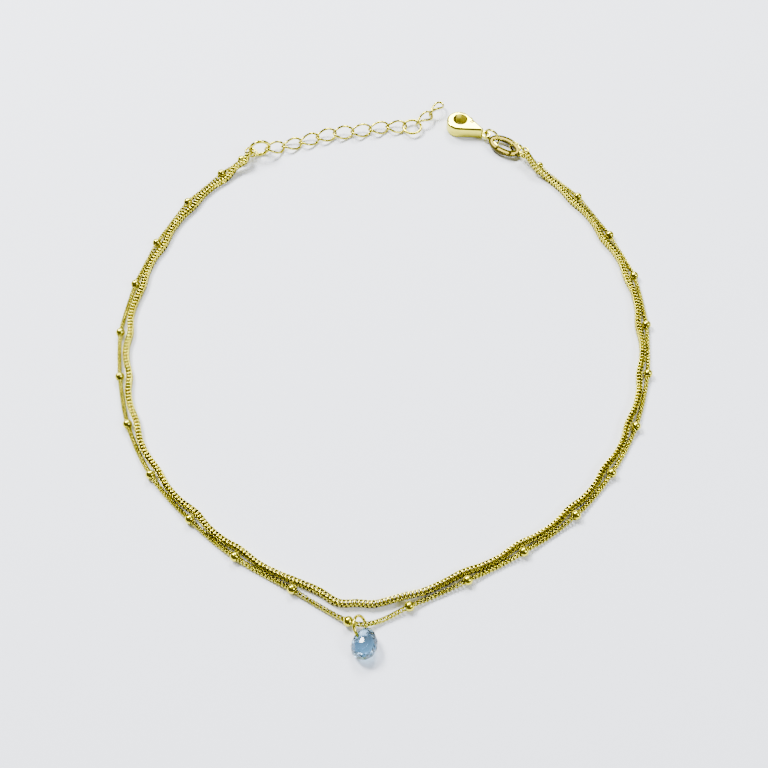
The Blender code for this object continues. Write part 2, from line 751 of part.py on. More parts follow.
def stone_mesh(name):
    """A pear-cut stone, its tip towards +y and its table up, as the hull of its rings of corners."""
    shape = bmesh.new()
    for outline, height, between in STONE_CUT:
        for x, y in pear_outline()[int(between) :: 2]:
            shape.verts.new((x * outline, y * outline, STONE_THICKNESS / 2 * height))
    hull = bmesh.ops.convex_hull(shape, input=shape.verts)
    spare = [item for item in hull["geom_interior"] if isinstance(item, bmesh.types.BMVert)]
    bmesh.ops.delete(shape, geom=spare, context="VERTS")
    bmesh.ops.recalc_face_normals(shape, faces=shape.faces)
    mesh = bpy.data.meshes.new(name)
    shape.to_mesh(mesh)
    shape.free()
    return mesh


# Stone: hung on the ring near its tip, tilted, its lowest corner on the surface
hole_place = drop_ring_centre + drop_down * (DROP_RING_RADIUS - HOLE_CHORD_SHIFT)
stone_turn = Matrix.Rotation(STONE_HEADING - pi / 2, 4, "Z") @ Matrix.Rotation(-STONE_TILT, 4, "Y")
stone_data = stone_mesh("drop_stone")
stone_place = hole_place - stone_turn @ Vector((STONE_HOLE_X, STONE_LENGTH / 2 - STONE_HOLE_FROM_TIP, 0.0))
stone_place.z = -min((stone_turn @ corner.co).z for corner in stone_data.vertices)
stone_finish = material("blue_glass", (0.40, 0.60, 0.74), 0.0, 0.05)
stone = add_object("drop_stone", stone_data, stone_finish, Matrix.Translation(stone_place) @ stone_turn)
hole_curve = plate_curve("stone_hole_cut", [pivot_disc(STONE_HOLE_RADIUS)], STONE_THICKNESS * 2)
hole_matrix = frame_at(hole_place, drop_down, drop_up.cross(drop_down))
add_boolean(stone, "DIFFERENCE", meshed("stone_hole_cut", hole_curve, None, hole_matrix))


# The origin goes to the middle of the anklet's box, on the surface
def model_corners():
    bpy.context.view_layer.update()
    graph = bpy.context.evaluated_depsgraph_get()
    corners = []
    for piece in anklet.objects:
        if piece.type == "EMPTY":
            continue
        seen = piece.evaluated_get(graph)
        mesh = seen.to_mesh()
        corners += [seen.matrix_world @ corner.co for corner in mesh.vertices]
        seen.to_mesh_clear()
    return corners


corners = model_corners()
low = Vector(min(corner[axis] for corner in corners) for axis in range(3))
high = Vector(max(corner[axis] for corner in corners) for axis in range(3))
origin.location = (-(low.x + high.x) / 2, -(low.y + high.y) / 2, -low.z)
bpy.context.view_layer.update()
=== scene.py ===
"""Looks of the two-strand charm anklet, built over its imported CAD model."""

import json
from math import acos, atan2, cos, hypot, pi, radians, sin, sqrt, tan

import bmesh
import bpy
import numpy as np
from mathutils import Matrix, Vector


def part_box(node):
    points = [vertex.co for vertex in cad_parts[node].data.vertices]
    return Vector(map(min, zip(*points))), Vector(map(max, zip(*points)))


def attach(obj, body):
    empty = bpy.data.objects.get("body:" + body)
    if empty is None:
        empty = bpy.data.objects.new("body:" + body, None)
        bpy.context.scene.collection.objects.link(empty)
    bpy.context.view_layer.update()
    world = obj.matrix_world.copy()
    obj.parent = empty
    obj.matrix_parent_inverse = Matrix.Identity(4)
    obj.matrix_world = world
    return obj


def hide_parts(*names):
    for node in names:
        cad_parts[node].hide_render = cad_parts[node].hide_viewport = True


MM = 0.001
UP = Vector((0.0, 0.0, 1.0))
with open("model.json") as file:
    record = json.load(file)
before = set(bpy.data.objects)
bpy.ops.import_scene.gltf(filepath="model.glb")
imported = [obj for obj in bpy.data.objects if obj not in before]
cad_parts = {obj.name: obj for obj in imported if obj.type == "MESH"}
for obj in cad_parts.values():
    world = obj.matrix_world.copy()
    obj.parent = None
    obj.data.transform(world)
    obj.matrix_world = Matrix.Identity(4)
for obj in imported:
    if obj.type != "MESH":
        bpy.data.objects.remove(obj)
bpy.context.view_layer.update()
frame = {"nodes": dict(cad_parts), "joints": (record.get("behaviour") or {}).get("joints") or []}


# Setting: the anklet lies on a plain pale table under soft studio light, seen from the front and well above.
# The far upper side is bright, and the camera's side is dim, as it is behind a photographer.
def linear(colour):
    """An sRGB hex colour as linear red, green, blue and alpha."""
    parts = [int(colour[index : index + 2], 16) / 255 for index in (1, 3, 5)]
    return (*[part / 12.92 if part <= 0.04045 else ((part + 0.055) / 1.055) ** 2.4 for part in parts], 1.0)


def add_node(tree, kind, links=None, **settings):
    """Adds a node. Settings are its own, and links are values or sockets for its inputs."""
    node = tree.nodes.new(kind)
    for name, value in settings.items():
        setattr(node, name, value)
    for name, value in (links or {}).items():
        if isinstance(value, bpy.types.NodeSocket):
            tree.links.new(value, node.inputs[name])
        else:
            node.inputs[name].default_value = value
    return node


def new_material(name):
    """An empty material with its shader, ready for nodes."""
    made = bpy.data.materials.new(name)
    made.use_nodes = True
    return made, made.node_tree, made.node_tree.nodes["Principled BSDF"]


view_middle = Vector((0.0, -8.49, 0.0)) * MM
view_height = radians(59.5)
view_distance = 180.26 * MM
camera = bpy.data.objects.new("camera", bpy.data.cameras.new("camera"))
camera.data.lens = 50.0
camera.data.sensor_width = 36.0
camera.data.clip_start = 0.01
camera.location = view_middle + view_distance * Vector((0.0, -cos(view_height), sin(view_height)))
camera.rotation_euler = (pi / 2 - view_height, 0.0, 0.0)
bpy.context.scene.collection.objects.link(camera)
bpy.context.scene.camera = camera

table_size = 1.6
table_corners = [(x * table_size, y * table_size, 0.0) for x, y in ((-1, -1), (1, -1), (1, 1), (-1, 1))]
table_mesh = bpy.data.meshes.new("table")
table_mesh.from_pydata(table_corners, [], [(0, 1, 2, 3)])
table = bpy.data.objects.new("table", table_mesh)
bpy.context.scene.collection.objects.link(table)
painted, tree, shader = new_material("matt_painted_board")
shader.inputs["Base Color"].default_value = linear("#F5F8FF")
shader.inputs["Roughness"].default_value = 0.75
shader.inputs["Specular IOR Level"].default_value = 0.3
table_mesh.materials.append(painted)


def add_softbox(name, place, size, power, colour):
    """A square softbox that faces the middle of the table."""
    lamp = bpy.data.lights.new(name, "AREA")
    lamp.shape = "SQUARE"
    lamp.size = size
    lamp.energy = power
    lamp.color = linear(colour)[:3]
    box = bpy.data.objects.new(name, lamp)
    box.location = place
    box.rotation_euler = (view_middle - Vector(place)).to_track_quat("-Z", "Y").to_euler()
    bpy.context.scene.collection.objects.link(box)


add_softbox("key_softbox", (-0.32, 0.30, 0.55), 0.22, 12.5, "#FCFCFF")
add_softbox("far_softbox", (0.07, 0.56, 0.60), 0.26, 9.0, "#FAFBFF")
add_softbox("fill_softbox", (0.55, -0.25, 0.50), 0.22, 4.5, "#F0F4FF")

world = bpy.data.worlds.new("studio")
bpy.context.scene.world = world
world.use_nodes = True
tree = world.node_tree
way = add_node(tree, "ShaderNodeTexCoord").outputs["Generated"]
side = add_node(tree, "ShaderNodeVectorMath", {0: way, 1: (0.0, 0.55, 0.75)}, operation="DOT_PRODUCT")
ramp = add_node(tree, "ShaderNodeValToRGB", {"Fac": side.outputs["Value"]})
ramp.color_ramp.elements[0].position = 0.50
ramp.color_ramp.elements[0].color = linear("#55524A")
ramp.color_ramp.elements[1].position = 0.95
ramp.color_ramp.elements[1].color = linear("#F2F4FA")
tree.links.new(ramp.outputs["Color"], tree.nodes["Background"].inputs["Color"])
tree.nodes["Background"].inputs["Strength"].default_value = 1.3


# Jump rings: round brass wire bent to a ring and pressed shut, then plated in pale yellow gold and tumbled
# bright. Each has a hair-fine cut where the wire's ends meet. The extender's end ring is soldered, with none.
def plated_gold(name, pale, deep, roughness, scratch_width, scratch_depth):
    """Bright gold plate over brass: a metal whose tone clouds slightly, with fine handling scratches."""
    made, tree, shader = new_material(name)
    where = add_node(tree, "ShaderNodeTexCoord").outputs["Object"]
    cloud = add_node(tree, "ShaderNodeTexNoise", {"Vector": where, "Scale": 1 / (1.5 * MM), "Detail": 3.0})
    tone = add_node(
        tree,
        "ShaderNodeMix",
        {"Factor": cloud.outputs["Fac"], 6: linear(pale), 7: linear(deep)},
        data_type="RGBA",
    )
    fine = add_node(
        tree,
        "ShaderNodeTexNoise",
        {"Vector": where, "Scale": 1 / scratch_width, "Detail": 2.0, "Distortion": 1.5},
    )
    rough = add_node(
        tree,
        "ShaderNodeMapRange",
        {"Value": fine.outputs["Fac"], "To Min": roughness * 0.7, "To Max": roughness * 1.4},
    )
    relief = add_node(
        tree, "ShaderNodeBump", {"Height": fine.outputs["Fac"], "Distance": scratch_depth, "Strength": 0.6}
    )
    tree.links.new(tone.outputs[2], shader.inputs["Base Color"])
    tree.links.new(rough.outputs["Result"], shader.inputs["Roughness"])
    tree.links.new(relief.outputs["Normal"], shader.inputs["Normal"])
    shader.inputs["Metallic"].default_value = 1.0
    return made


def lie_of(node):
    """The middle of a CAD node and its three own axes, the longest first, from the spread of its corners."""
    corners = np.array([corner.co for corner in frame["nodes"][node].data.vertices], float)
    corners = np.unique(np.round(corners, 7), axis=0)
    middle = corners.mean(0)
    axes = np.linalg.eigh(np.cov((corners - middle).T))[1][:, ::-1].T
    long, wide = Vector(axes[0]), Vector(axes[1])
    return Vector(middle), long, wide, long.cross(wide)


def placed(middle, along, across):
    """A matrix at a point, with x along one direction and y along another."""
    matrix = Matrix.Identity(4)
    for column, axis in enumerate((along, across, along.cross(across))):
        matrix.col[column].xyz = axis
    matrix.translation = middle
    return matrix


def add_piece(name, data, finish, body="anklet", stands_for=(), matrix=None):
    """Puts a finished piece in the scene, with its body and the CAD nodes that it stands for."""
    piece = bpy.data.objects.new(name, data)
    bpy.context.scene.collection.objects.link(piece)
    if matrix is not None:
        piece.matrix_world = matrix
    if not data.materials:
        data.materials.append(finish)
    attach(piece, body)
    if stands_for:
        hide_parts(*stands_for)
    return piece


def wire(name, points, radius, closed, sides=4):
    """A mesh of round wire along a row of points."""
    curve = bpy.data.curves.new(name, "CURVE")
    curve.dimensions = "3D"
    curve.bevel_depth = radius
    curve.bevel_resolution = sides
    curve.use_fill_caps = not closed
    spline = curve.splines.new("POLY")
    spline.points.add(len(points) - 1)
    for point, place in zip(spline.points, points):
        point.co = (*place, 1.0)
    spline.use_cyclic_u = closed
    bent = bpy.data.objects.new(name, curve)
    mesh = bpy.data.meshes.new_from_object(bent)
    bpy.data.objects.remove(bent)
    mesh.name = name
    return mesh


def ring_points(radius, start, end, count):
    turns = [start + (end - start) * step / count for step in range(count)]
    return [(radius * cos(turn), radius * sin(turn), 0.0) for turn in turns]


ring_plate = plated_gold("tumbled_gold_plate", "#DCD43C", "#BAAC28", 0.09, 0.06 * MM, 0.002 * MM)
ring_cut = 0.03 * MM
rings = {}
for node, radius, thickness, cut_at in (
    ("extender_jump_ring", 1.85 * MM, 0.32 * MM, 70),
    ("tag_ring", 1.55 * MM, 0.25 * MM, 100),
    ("clasp_ring", 1.58 * MM, 0.22 * MM, 80),
    ("drop_ring", 1.58 * MM, 0.24 * MM, 20),
):
    middle, long, wide, normal = lie_of(node)
    upward = (UP - normal * UP.dot(normal)).normalized()
    along = upward.cross(normal)
    if along.x > 0:
        along = -along
    rings[node] = (middle, along, upward, radius, thickness)
    start = radians(cut_at) + ring_cut / radius / 2
    points = ring_points(radius, start, start + 2 * pi - ring_cut / radius, 72)
    piece = wire(node + "_wire", points, thickness, False)
    add_piece(node + "_wire", piece, ring_plate, "anklet", (node,), placed(middle, along, upward))

middle, long, wide, normal = lie_of("extender_end_ring")
end_ring = wire("extender_end_ring_wire", ring_points(1.75 * MM, 0.0, 2 * pi, 72), 0.25 * MM, True)
add_piece(
    "extender_end_ring_wire", end_ring, ring_plate, "anklet", ("extender_end_ring",),
    placed(middle, long, wide),
)


# Extender: curb links of round brass wire. Each is bent to an oval, twisted so that the chain lies flat, and
# soldered shut, then plated. Handling leaves the plate rubbed, with broader and shallower scratches.
link_plate = plated_gold("rubbed_gold_plate", "#D8D03A", "#B0A224", 0.10, 0.12 * MM, 0.0012 * MM)
link_length = 4.4 * MM
link_width = 2.8 * MM
link_wire = 0.215 * MM
link_twist = radians(48)
link_path = []
for step in range(56):
    turn = 2 * pi * step / 56
    twist = link_twist * cos(turn)
    across = (link_width / 2 - link_wire) * sin(turn)
    link_path.append(((link_length / 2 - link_wire) * cos(turn), across * cos(twist), across * sin(twist)))
link_wire_curve = wire("curb_link", link_path, link_wire, True)
for number in range(1, 11):
    node = f"extender_link_{number}"
    middle, long, wide, normal = lie_of(node)
    place = placed(middle, long, wide)
    add_piece(f"curb_link_{number}", link_wire_curve, link_plate, "anklet", (node,), place)


# Strands: a box chain and a fine box chain, both of flat brass wire folded to square links, each turned a
# quarter against the last, plated and polished. Both end in a soldered loop of round wire on a jump ring.
# The links' middles lie higher than the CAD tubes' do, so that the links' corners clear the table.
chain_plate = plated_gold("polished_box_chain_plate", "#DCD43C", "#B0A224", 0.10, 0.08 * MM, 0.002 * MM)
fine_chain_plate = plated_gold("polished_fine_chain_plate", "#DCD642", "#B2A628", 0.10, 0.08 * MM, 0.002 * MM)
loop_radius = 0.85 * MM
loop_wire = 0.20 * MM
loop_clearance = 0.12 * MM
box_radius = 0.55 * MM
fine_radius = 0.35 * MM
box_height = 0.62 * MM
fine_height = 0.44 * MM
route_step = 0.02 * MM
place_spacing = 3.33 * MM
sway_length = 23 * MM
tangent_reach = 80
end_rise_length = 7.0 * MM
ball_radius = 0.80 * MM
clearance = 0.06 * MM


def end_loop(ring, hang_angle, rise, heading):
    """A strand's end loop on a standing ring: its middle, its outer rim and the way it points."""
    middle, along, upward, radius, thickness = rings[ring]
    depth = radius * sin(hang_angle) / upward.z - rise / upward.z
    reach = sqrt(radius**2 - depth**2)
    slant = atan2(depth, reach)
    room = thickness / cos(slant) + loop_wire * abs(tan(slant)) + loop_clearance
    play = max(0.0, loop_radius * cos(pi / 12) - loop_wire - room)
    way = Vector((cos(heading), sin(heading), 0.0))
    outward = -along if way.dot(along) < 0 else along
    middle = middle + outward * reach - upward * depth + way * play
    return middle, middle + way * loop_radius, way


box_rise = loop_wire + box_radius + 2 * clearance
fine_ends = [
    end_loop("extender_jump_ring", radians(35), 0.0, radians(207)),
    end_loop("tag_ring", radians(8), 0.0, radians(-40)),
]
box_ends = [
    end_loop("extender_jump_ring", radians(35), box_rise, radians(243)),
    end_loop("tag_ring", radians(8), box_rise, radians(-66)),
]


def smooth_route(places, fineness):
    """Points on a centripetal Catmull-Rom curve through the places, and the number of each place's point."""
    padded = np.array([2 * places[0] - places[1], *places, 2 * places[-1] - places[-2]])
    route = []
    numbers = []
    for index in range(1, len(places)):
        before, start, end, after = padded[index - 1 : index + 3]
        spans = ((before, start), (start, end), (end, after))
        knots = np.cumsum([0.0] + [sqrt(np.linalg.norm(b - a)) for a, b in spans])
        count = max(2, int(np.linalg.norm(end - start) / fineness))
        here = np.linspace(knots[1], knots[2], count, endpoint=False)[:, None]

        def blend(first, second, low, high):
            return first * (high - here) / (high - low) + second * (here - low) / (high - low)

        first = blend(before, start, knots[0], knots[1])
        second = blend(start, end, knots[1], knots[2])
        third = blend(end, after, knots[2], knots[3])
        early = blend(first, second, knots[0], knots[2])
        late = blend(second, third, knots[1], knots[3])
        numbers.append(len(route))
        route.extend(blend(early, late, knots[1], knots[2]))
    numbers.append(len(route))
    return np.array([*route, places[-1]]), numbers


def travelled(route):
    return np.concatenate([[0.0], np.cumsum(np.linalg.norm(np.diff(route[:, :2], axis=0), axis=1))])


balls = []
for number in range(1, 26):
    low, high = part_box(f"bead_{number:02d}")
    balls.append(np.array((low + high) / 2))
# Two more places hold the chain where the drop's ring lifts it and where it comes down again.
drop_shift = np.array((2.0, -0.6, 0.0)) * MM
low_shift = np.array((4.8, 0.2, 0.0)) * MM
drop_height = 1.185 * MM
stations = balls[:13] + [balls[12] + drop_shift, balls[12] + low_shift] + balls[13:]
stations[13][2] = drop_height
stations[14][2] = fine_height
fine_places = [np.array(fine_ends[0][1]), *stations, np.array(fine_ends[1][1])]
fine_route, station_numbers = smooth_route(fine_places, route_step)
distances = travelled(fine_route)
knots = []
for index, number in enumerate(station_numbers):
    knots.append((distances[number], fine_places[index][2]))
    if index + 1 < len(station_numbers):
        gap = distances[station_numbers[index + 1]] - distances[number]
        chord = np.linalg.norm(fine_places[index + 1] - fine_places[index])
        steps = max(1, round(chord / place_spacing))
        knots += [(distances[number] + gap * share / steps, fine_height) for share in range(1, steps)]
knots = np.array(knots)
heights = np.interp(distances, knots[:, 0], knots[:, 1])
window = 41
padded_heights = np.pad(heights, window // 2, mode="edge")
fine_route[:, 2] = np.convolve(padded_heights, np.ones(window) / window, mode="valid")

# How much farther than beside the balls the box chain lies, where it swings wide.
apart = np.zeros(len(stations) + 1)
apart[[5, 6, 7, 12, 13, 14, 15]] = np.array((0.3, 0.2, 0.1, 1.7, 2.0, 1.3, 0.4)) * MM


def beside(radius, gap):
    """How far to the side the box chain lies from a round piece of this radius, both on the table."""
    return sqrt((radius + box_radius + gap) ** 2 - (radius - box_radius) ** 2)


def inward_of(number, distance):
    along = fine_route[number + tangent_reach] - fine_route[number - tangent_reach]
    return fine_route[number] + np.array((-along[1], along[0], 0.0)) / hypot(along[0], along[1]) * distance


box_places = [np.array(box_ends[0][1])]
for index, place in enumerate(stations):
    start, stop = station_numbers[index + 1 : index + 3]
    box_places.append(inward_of(start, beside(ball_radius, clearance) + apart[index]))
    if index + 1 < len(stations) and index not in (12, 13, 14):
        steps = max(1, round(np.linalg.norm(stations[index + 1] - place) / place_spacing))
        for step in range(1, steps):
            distance = beside(fine_radius, 2 * clearance) + (apart[index] + apart[index + 1]) / 2
            box_places.append(inward_of(start + round((stop - start) * step / steps), distance))
box_places.append(np.array(box_ends[1][1]))
box_route, _ = smooth_route(box_places, route_step)
distances = travelled(box_route)
box_route[:, 2] = box_height
for end, measured in ((box_ends[0], distances), (box_ends[1], distances[-1] - distances)):
    share = np.clip(measured / end_rise_length, 0.0, 1.0)
    box_route[:, 2] += (end[1].z - box_height) * (1 - share**2 * (3 - 2 * share))


def square_link(length, width, thickness, breadth, rounding):
    """Corners and faces of one folded square link, lying in the xy plane, its length along x."""
    path = []
    far_x = length / 2 - thickness / 2 - rounding
    far_y = width / 2 - thickness / 2 - rounding
    for quarter, (sx, sy) in enumerate(((1, 1), (-1, 1), (-1, -1), (1, -1))):
        centre = np.array((sx * far_x, sy * far_y))
        for step in range(3):
            turn = pi / 2 * (quarter + step / 2)
            out = np.array((cos(turn), sin(turn)))
            path.append((centre + out * rounding, out))
    bevel = thickness * 0.40
    half, edge = thickness / 2, breadth / 2
    section = (
        (half, -edge + bevel),
        (half, edge - bevel),
        (half - bevel, edge),
        (-half, edge),
        (-half, -edge),
        (half - bevel, -edge),
    )
    corners = [(*(at + out * far), high) for at, out in path for far, high in section]
    count, sides = len(path), len(section)
    faces = []
    for ring in range(count):
        for edge_number in range(sides):
            following = (edge_number + 1) % sides
            here, ahead = ring * sides, (ring + 1) % count * sides
            faces.append((here + edge_number, ahead + edge_number, ahead + following, here + following))
    return np.array(corners), np.array(faces)


def chain_mesh(name, route, pitch, link, looseness, lie, sway, seed):
    """One mesh of all the links along a route, each a quarter turn from the last and a little out of true.
    The chain lies rolled over by one angle and turns to and fro by another along its length."""
    corners, faces = link
    steps = np.concatenate([[0.0], np.cumsum(np.linalg.norm(np.diff(route, axis=0), axis=1))])
    count = int(steps[-1] / pitch)
    at = np.linspace(pitch * 0.4, steps[-1] - pitch * 0.4, count)
    middles = np.stack([np.interp(at, steps, route[:, axis]) for axis in range(3)], axis=1)
    ahead = np.stack([np.interp(at + pitch / 2, steps, route[:, axis]) for axis in range(3)], axis=1)
    behind = np.stack([np.interp(at - pitch / 2, steps, route[:, axis]) for axis in range(3)], axis=1)
    along = ahead - behind
    along /= np.linalg.norm(along, axis=1)[:, None]
    across = np.cross((0.0, 0.0, 1.0), along)
    across /= np.linalg.norm(across, axis=1)[:, None]
    above = np.cross(along, across)
    chance = np.random.default_rng(seed)
    roll = lie + sway * np.sin(2 * pi * at / sway_length)
    roll += chance.normal(0.0, looseness, count) + np.where(np.arange(count) % 2, pi / 2, 0.0)
    yaw = chance.normal(0.0, looseness, count)
    side = across * np.cos(roll)[:, None] + above * np.sin(roll)[:, None]
    face = np.cross(along, side)
    ahead = along * np.cos(yaw)[:, None] + side * np.sin(yaw)[:, None]
    side = np.cross(face, ahead)
    turned = (
        corners[None, :, 0, None] * ahead[:, None, :]
        + corners[None, :, 1, None] * side[:, None, :]
        + corners[None, :, 2, None] * face[:, None, :]
    )
    points = (middles[:, None, :] + turned).reshape(-1, 3)
    quads = (faces[None, :, :] + (np.arange(count) * len(corners))[:, None, None]).reshape(-1, 4)
    mesh = bpy.data.meshes.new(name)
    mesh.from_pydata(points.tolist(), [], quads.tolist())
    mesh.shade_smooth()
    mesh.set_sharp_from_angle(angle=radians(50))
    return mesh


box_pitch = 0.32 * MM
box_link = square_link(0.48 * MM, 1.10 * MM, 0.08 * MM, 0.90 * MM, 0.16 * MM)
box_mesh = chain_mesh("box_chain_links", box_route, box_pitch, box_link, radians(2.0), 0.0, radians(5), 3)
add_piece("box_chain_links", box_mesh, chain_plate, "anklet", ("box_chain",))
fine_pitch = 0.31 * MM
fine_link = square_link(0.47 * MM, 0.76 * MM, 0.08 * MM, 0.45 * MM, 0.18 * MM)
fine_mesh = chain_mesh(
    "satellite_chain_links", fine_route, fine_pitch, fine_link, radians(3.0), pi / 4, radians(12), 5
)
add_piece("satellite_chain_links", fine_mesh, fine_chain_plate, "anklet", ("satellite_chain",))
for strand, ends, finish in (("box", box_ends, chain_plate), ("satellite", fine_ends, fine_chain_plate)):
    for end, (middle, _, way) in zip(("extender", "tag"), ends):
        loop = wire(f"{strand}_loop_{end}", ring_points(loop_radius, 0.0, 2 * pi, 48), loop_wire, True)
        place = placed(middle, way, UP.cross(way))
        add_piece(f"{strand}_loop_{end}", loop, finish, "anklet", (), place)


# Balls: seamless hollow brass balls, drilled through for the fine chain, plated and polished to a mirror. The
# edge of each hole is turned in a little.
ball_plate = plated_gold("mirror_gold_plate", "#E4DC3E", "#CCC02E", 0.11, 0.10 * MM, 0.0012 * MM)
hole_radius = 0.46 * MM
hole_edge = 0.06 * MM
ball_reach = 30
widest = acos((hole_radius + hole_edge) / ball_radius)
profile = []
for step in range(25):
    turn = widest - 2 * widest * step / 24
    profile.append((ball_radius * cos(turn), ball_radius * sin(turn)))
half_bore = sqrt(ball_radius**2 - (hole_radius + hole_edge) ** 2) - hole_edge
profile += [(hole_radius, -half_bore), (hole_radius, half_bore)]
ball_sides = 48
ball_corners = [
    (reach * cos(2 * pi * side / ball_sides), reach * sin(2 * pi * side / ball_sides), high)
    for side in range(ball_sides)
    for reach, high in profile
]
ball_faces = []
for side in range(ball_sides):
    here, ahead = side * len(profile), (side + 1) % ball_sides * len(profile)
    for step in range(len(profile)):
        following = (step + 1) % len(profile)
        ball_faces.append((here + step, here + following, ahead + following, ahead + step))
ball_mesh = bpy.data.meshes.new("drilled_ball")
ball_mesh.from_pydata(ball_corners, [], ball_faces)
ball_mesh.shade_smooth()
ball_mesh.set_sharp_from_angle(angle=radians(40))
for number in range(1, 26):
    station = number if number <= 13 else number + 2
    at = station_numbers[station]
    along = Vector(fine_route[at + ball_reach] - fine_route[at - ball_reach]).normalized()
    across = UP.cross(along).normalized()
    place = placed(Vector(balls[number - 1]), across, along.cross(across))
    add_piece(
        f"ball_{number:02d}", ball_mesh, ball_plate, "anklet", (f"bead_{number:02d}",), place
    )


# Tag: an oval stamped from brass sheet with a long slot, its two faces dished between rims that stand proud,
# then plated. It is left bare. The dished faces are painted darker than the rims: painted shade for their
# dark reflections.
tag_plate = plated_gold("stamped_gold_plate_painted_dish_shade", "#DED63E", "#BCAE28", 0.12, 0.05 * MM, 0.004 * MM)
tree = tag_plate.node_tree
shader = tree.nodes["Principled BSDF"]
bright = shader.inputs["Base Color"].links[0].from_socket
where = add_node(tree, "ShaderNodeTexCoord").outputs["Object"]
height = add_node(tree, "ShaderNodeSeparateXYZ", {"Vector": where})
above = add_node(tree, "ShaderNodeMath", {0: height.outputs["Z"]}, operation="ABSOLUTE")
# Painted shade: the base colour turns deep olive (#463D0E) in the low dished faces and stays plate colour on
# the rims.
dish_shade_mask = add_node(
    tree, "ShaderNodeMapRange", {"Value": above.outputs[0], "From Min": 0.17 * MM, "From Max": 0.24 * MM}
)
painted_dish_shade = add_node(
    tree,
    "ShaderNodeMix",
    {"Factor": dish_shade_mask.outputs["Result"], 6: linear("#463D0E"), 7: bright},
    data_type="RGBA",
)
tree.links.new(painted_dish_shade.outputs[2], shader.inputs["Base Color"])
tag_half = (3.4 * MM, 2.15 * MM)
slot_half = (2.3 * MM, 0.8 * MM)
tag_thickness = 0.5 * MM
tag_dish = 0.12 * MM
rim_share = 0.18
tag_section = []
for step in range(9):
    share = step / 8
    rise = tag_dish * min(1.0, max(0.0, (0.5 - abs(share - 0.5)) / rim_share - 0.25))
    tag_section.append((0.06 + 0.88 * share, tag_thickness / 2 - rise))
tag_section = [(0.0, 0.10 * MM), (0.015, 0.18 * MM), *tag_section, (0.985, 0.18 * MM), (1.0, 0.10 * MM)]
tag_section += [(share, -high) for share, high in reversed(tag_section)]
tag_turns = 96
tag_corners = []
for step in range(tag_turns):
    turn = 2 * pi * step / tag_turns
    for share, high in tag_section:
        reach = [outer + (inner - outer) * share for outer, inner in zip(tag_half, slot_half)]
        tag_corners.append((reach[0] * cos(turn), reach[1] * sin(turn), high))
tag_faces = []
for step in range(tag_turns):
    here, ahead = step * len(tag_section), (step + 1) % tag_turns * len(tag_section)
    for number in range(len(tag_section)):
        following = (number + 1) % len(tag_section)
        tag_faces.append((here + number, ahead + number, ahead + following, here + following))
tag_mesh = bpy.data.meshes.new("oval_tag")
tag_mesh.from_pydata(tag_corners, [], tag_faces)
tag_mesh.shade_smooth()
tag_mesh.set_sharp_from_angle(angle=radians(50))
middle, long, wide, normal = lie_of("tag")
add_piece("oval_tag", tag_mesh, tag_plate, "anklet", ("tag",), placed(middle, long, wide))


# Clasp: a lobster clasp of cast brass, its edges rounded and its flat faces polished bright, with an eye for
# its ring. A sprung lever turns on a rivet in a fork and closes the hook.
clasp_plate = plated_gold("cast_gold_plate", "#E4DE4C", "#CABF36", 0.08, 0.12 * MM, 0.0015 * MM)
lever_plate = plated_gold("cast_lever_gold_plate", "#DED640", "#C2B62C", 0.09, 0.12 * MM, 0.0015 * MM)
clasp_thickness = 2.4 * MM
clasp_rounding = 0.42 * MM
nose_radius = 2.4 * MM
nose_x = 5.9 * MM
tail = (0.7 * MM, 0.45 * MM)
opening = (5.75 * MM, -0.25 * MM, 1.45 * MM)
pivot = (3.5 * MM, -0.75 * MM)
lever_length = 3.55 * MM
arm_start = 1.33 * MM
root_thickness = 1.0 * MM
eye_radius = 0.9 * MM
eye_bore = 0.52 * MM
eye_thickness = 0.6 * MM
rivet_radius = 0.30 * MM
clasp_heading = radians(152)
clasp_way = Vector((cos(clasp_heading), sin(clasp_heading), 0.0))
lever_joint = Vector(frame["joints"][0]["pos_m"])
eye_place = lever_joint - clasp_way * pivot[0] - UP.cross(clasp_way) * pivot[1]
clasp_place = placed(eye_place, clasp_way, UP.cross(clasp_way))


def circle(centre, radius, start=0.0, end=2 * pi, count=64, closed=True):
    steps = count if closed else count - 1
    turns = [start + (end - start) * step / steps for step in range(count)]
    return [(centre[0] + radius * cos(turn), centre[1] + radius * sin(turn)) for turn in turns]


def plate(name, outlines, thickness, rounding=0.0, fineness=0):
    """A flat plate as a closed mesh: the first outline is its edge and the others are its holes."""
    curve = bpy.data.curves.new(name, "CURVE")
    curve.dimensions = "2D"
    curve.fill_mode = "BOTH"
    curve.extrude = thickness / 2 - rounding
    curve.bevel_depth = rounding
    curve.bevel_resolution = fineness
    curve.offset = -rounding
    for outline in outlines:
        spline = curve.splines.new("POLY")
        spline.points.add(len(outline) - 1)
        for point, (x, y) in zip(spline.points, outline):
            point.co = (x, y, 0.0, 1.0)
        spline.use_cyclic_u = True
    drawn = bpy.data.objects.new(name, curve)
    bpy.context.scene.collection.objects.link(drawn)
    bpy.context.view_layer.update()
    mesh = bpy.data.meshes.new_from_object(drawn.evaluated_get(bpy.context.evaluated_depsgraph_get()))
    bpy.data.objects.remove(drawn)
    shape = bmesh.new()
    shape.from_mesh(mesh)
    bmesh.ops.remove_doubles(shape, verts=shape.verts, dist=0.0002 * MM)
    bmesh.ops.recalc_face_normals(shape, faces=shape.faces)
    shape.to_mesh(mesh)
    shape.free()
    return mesh


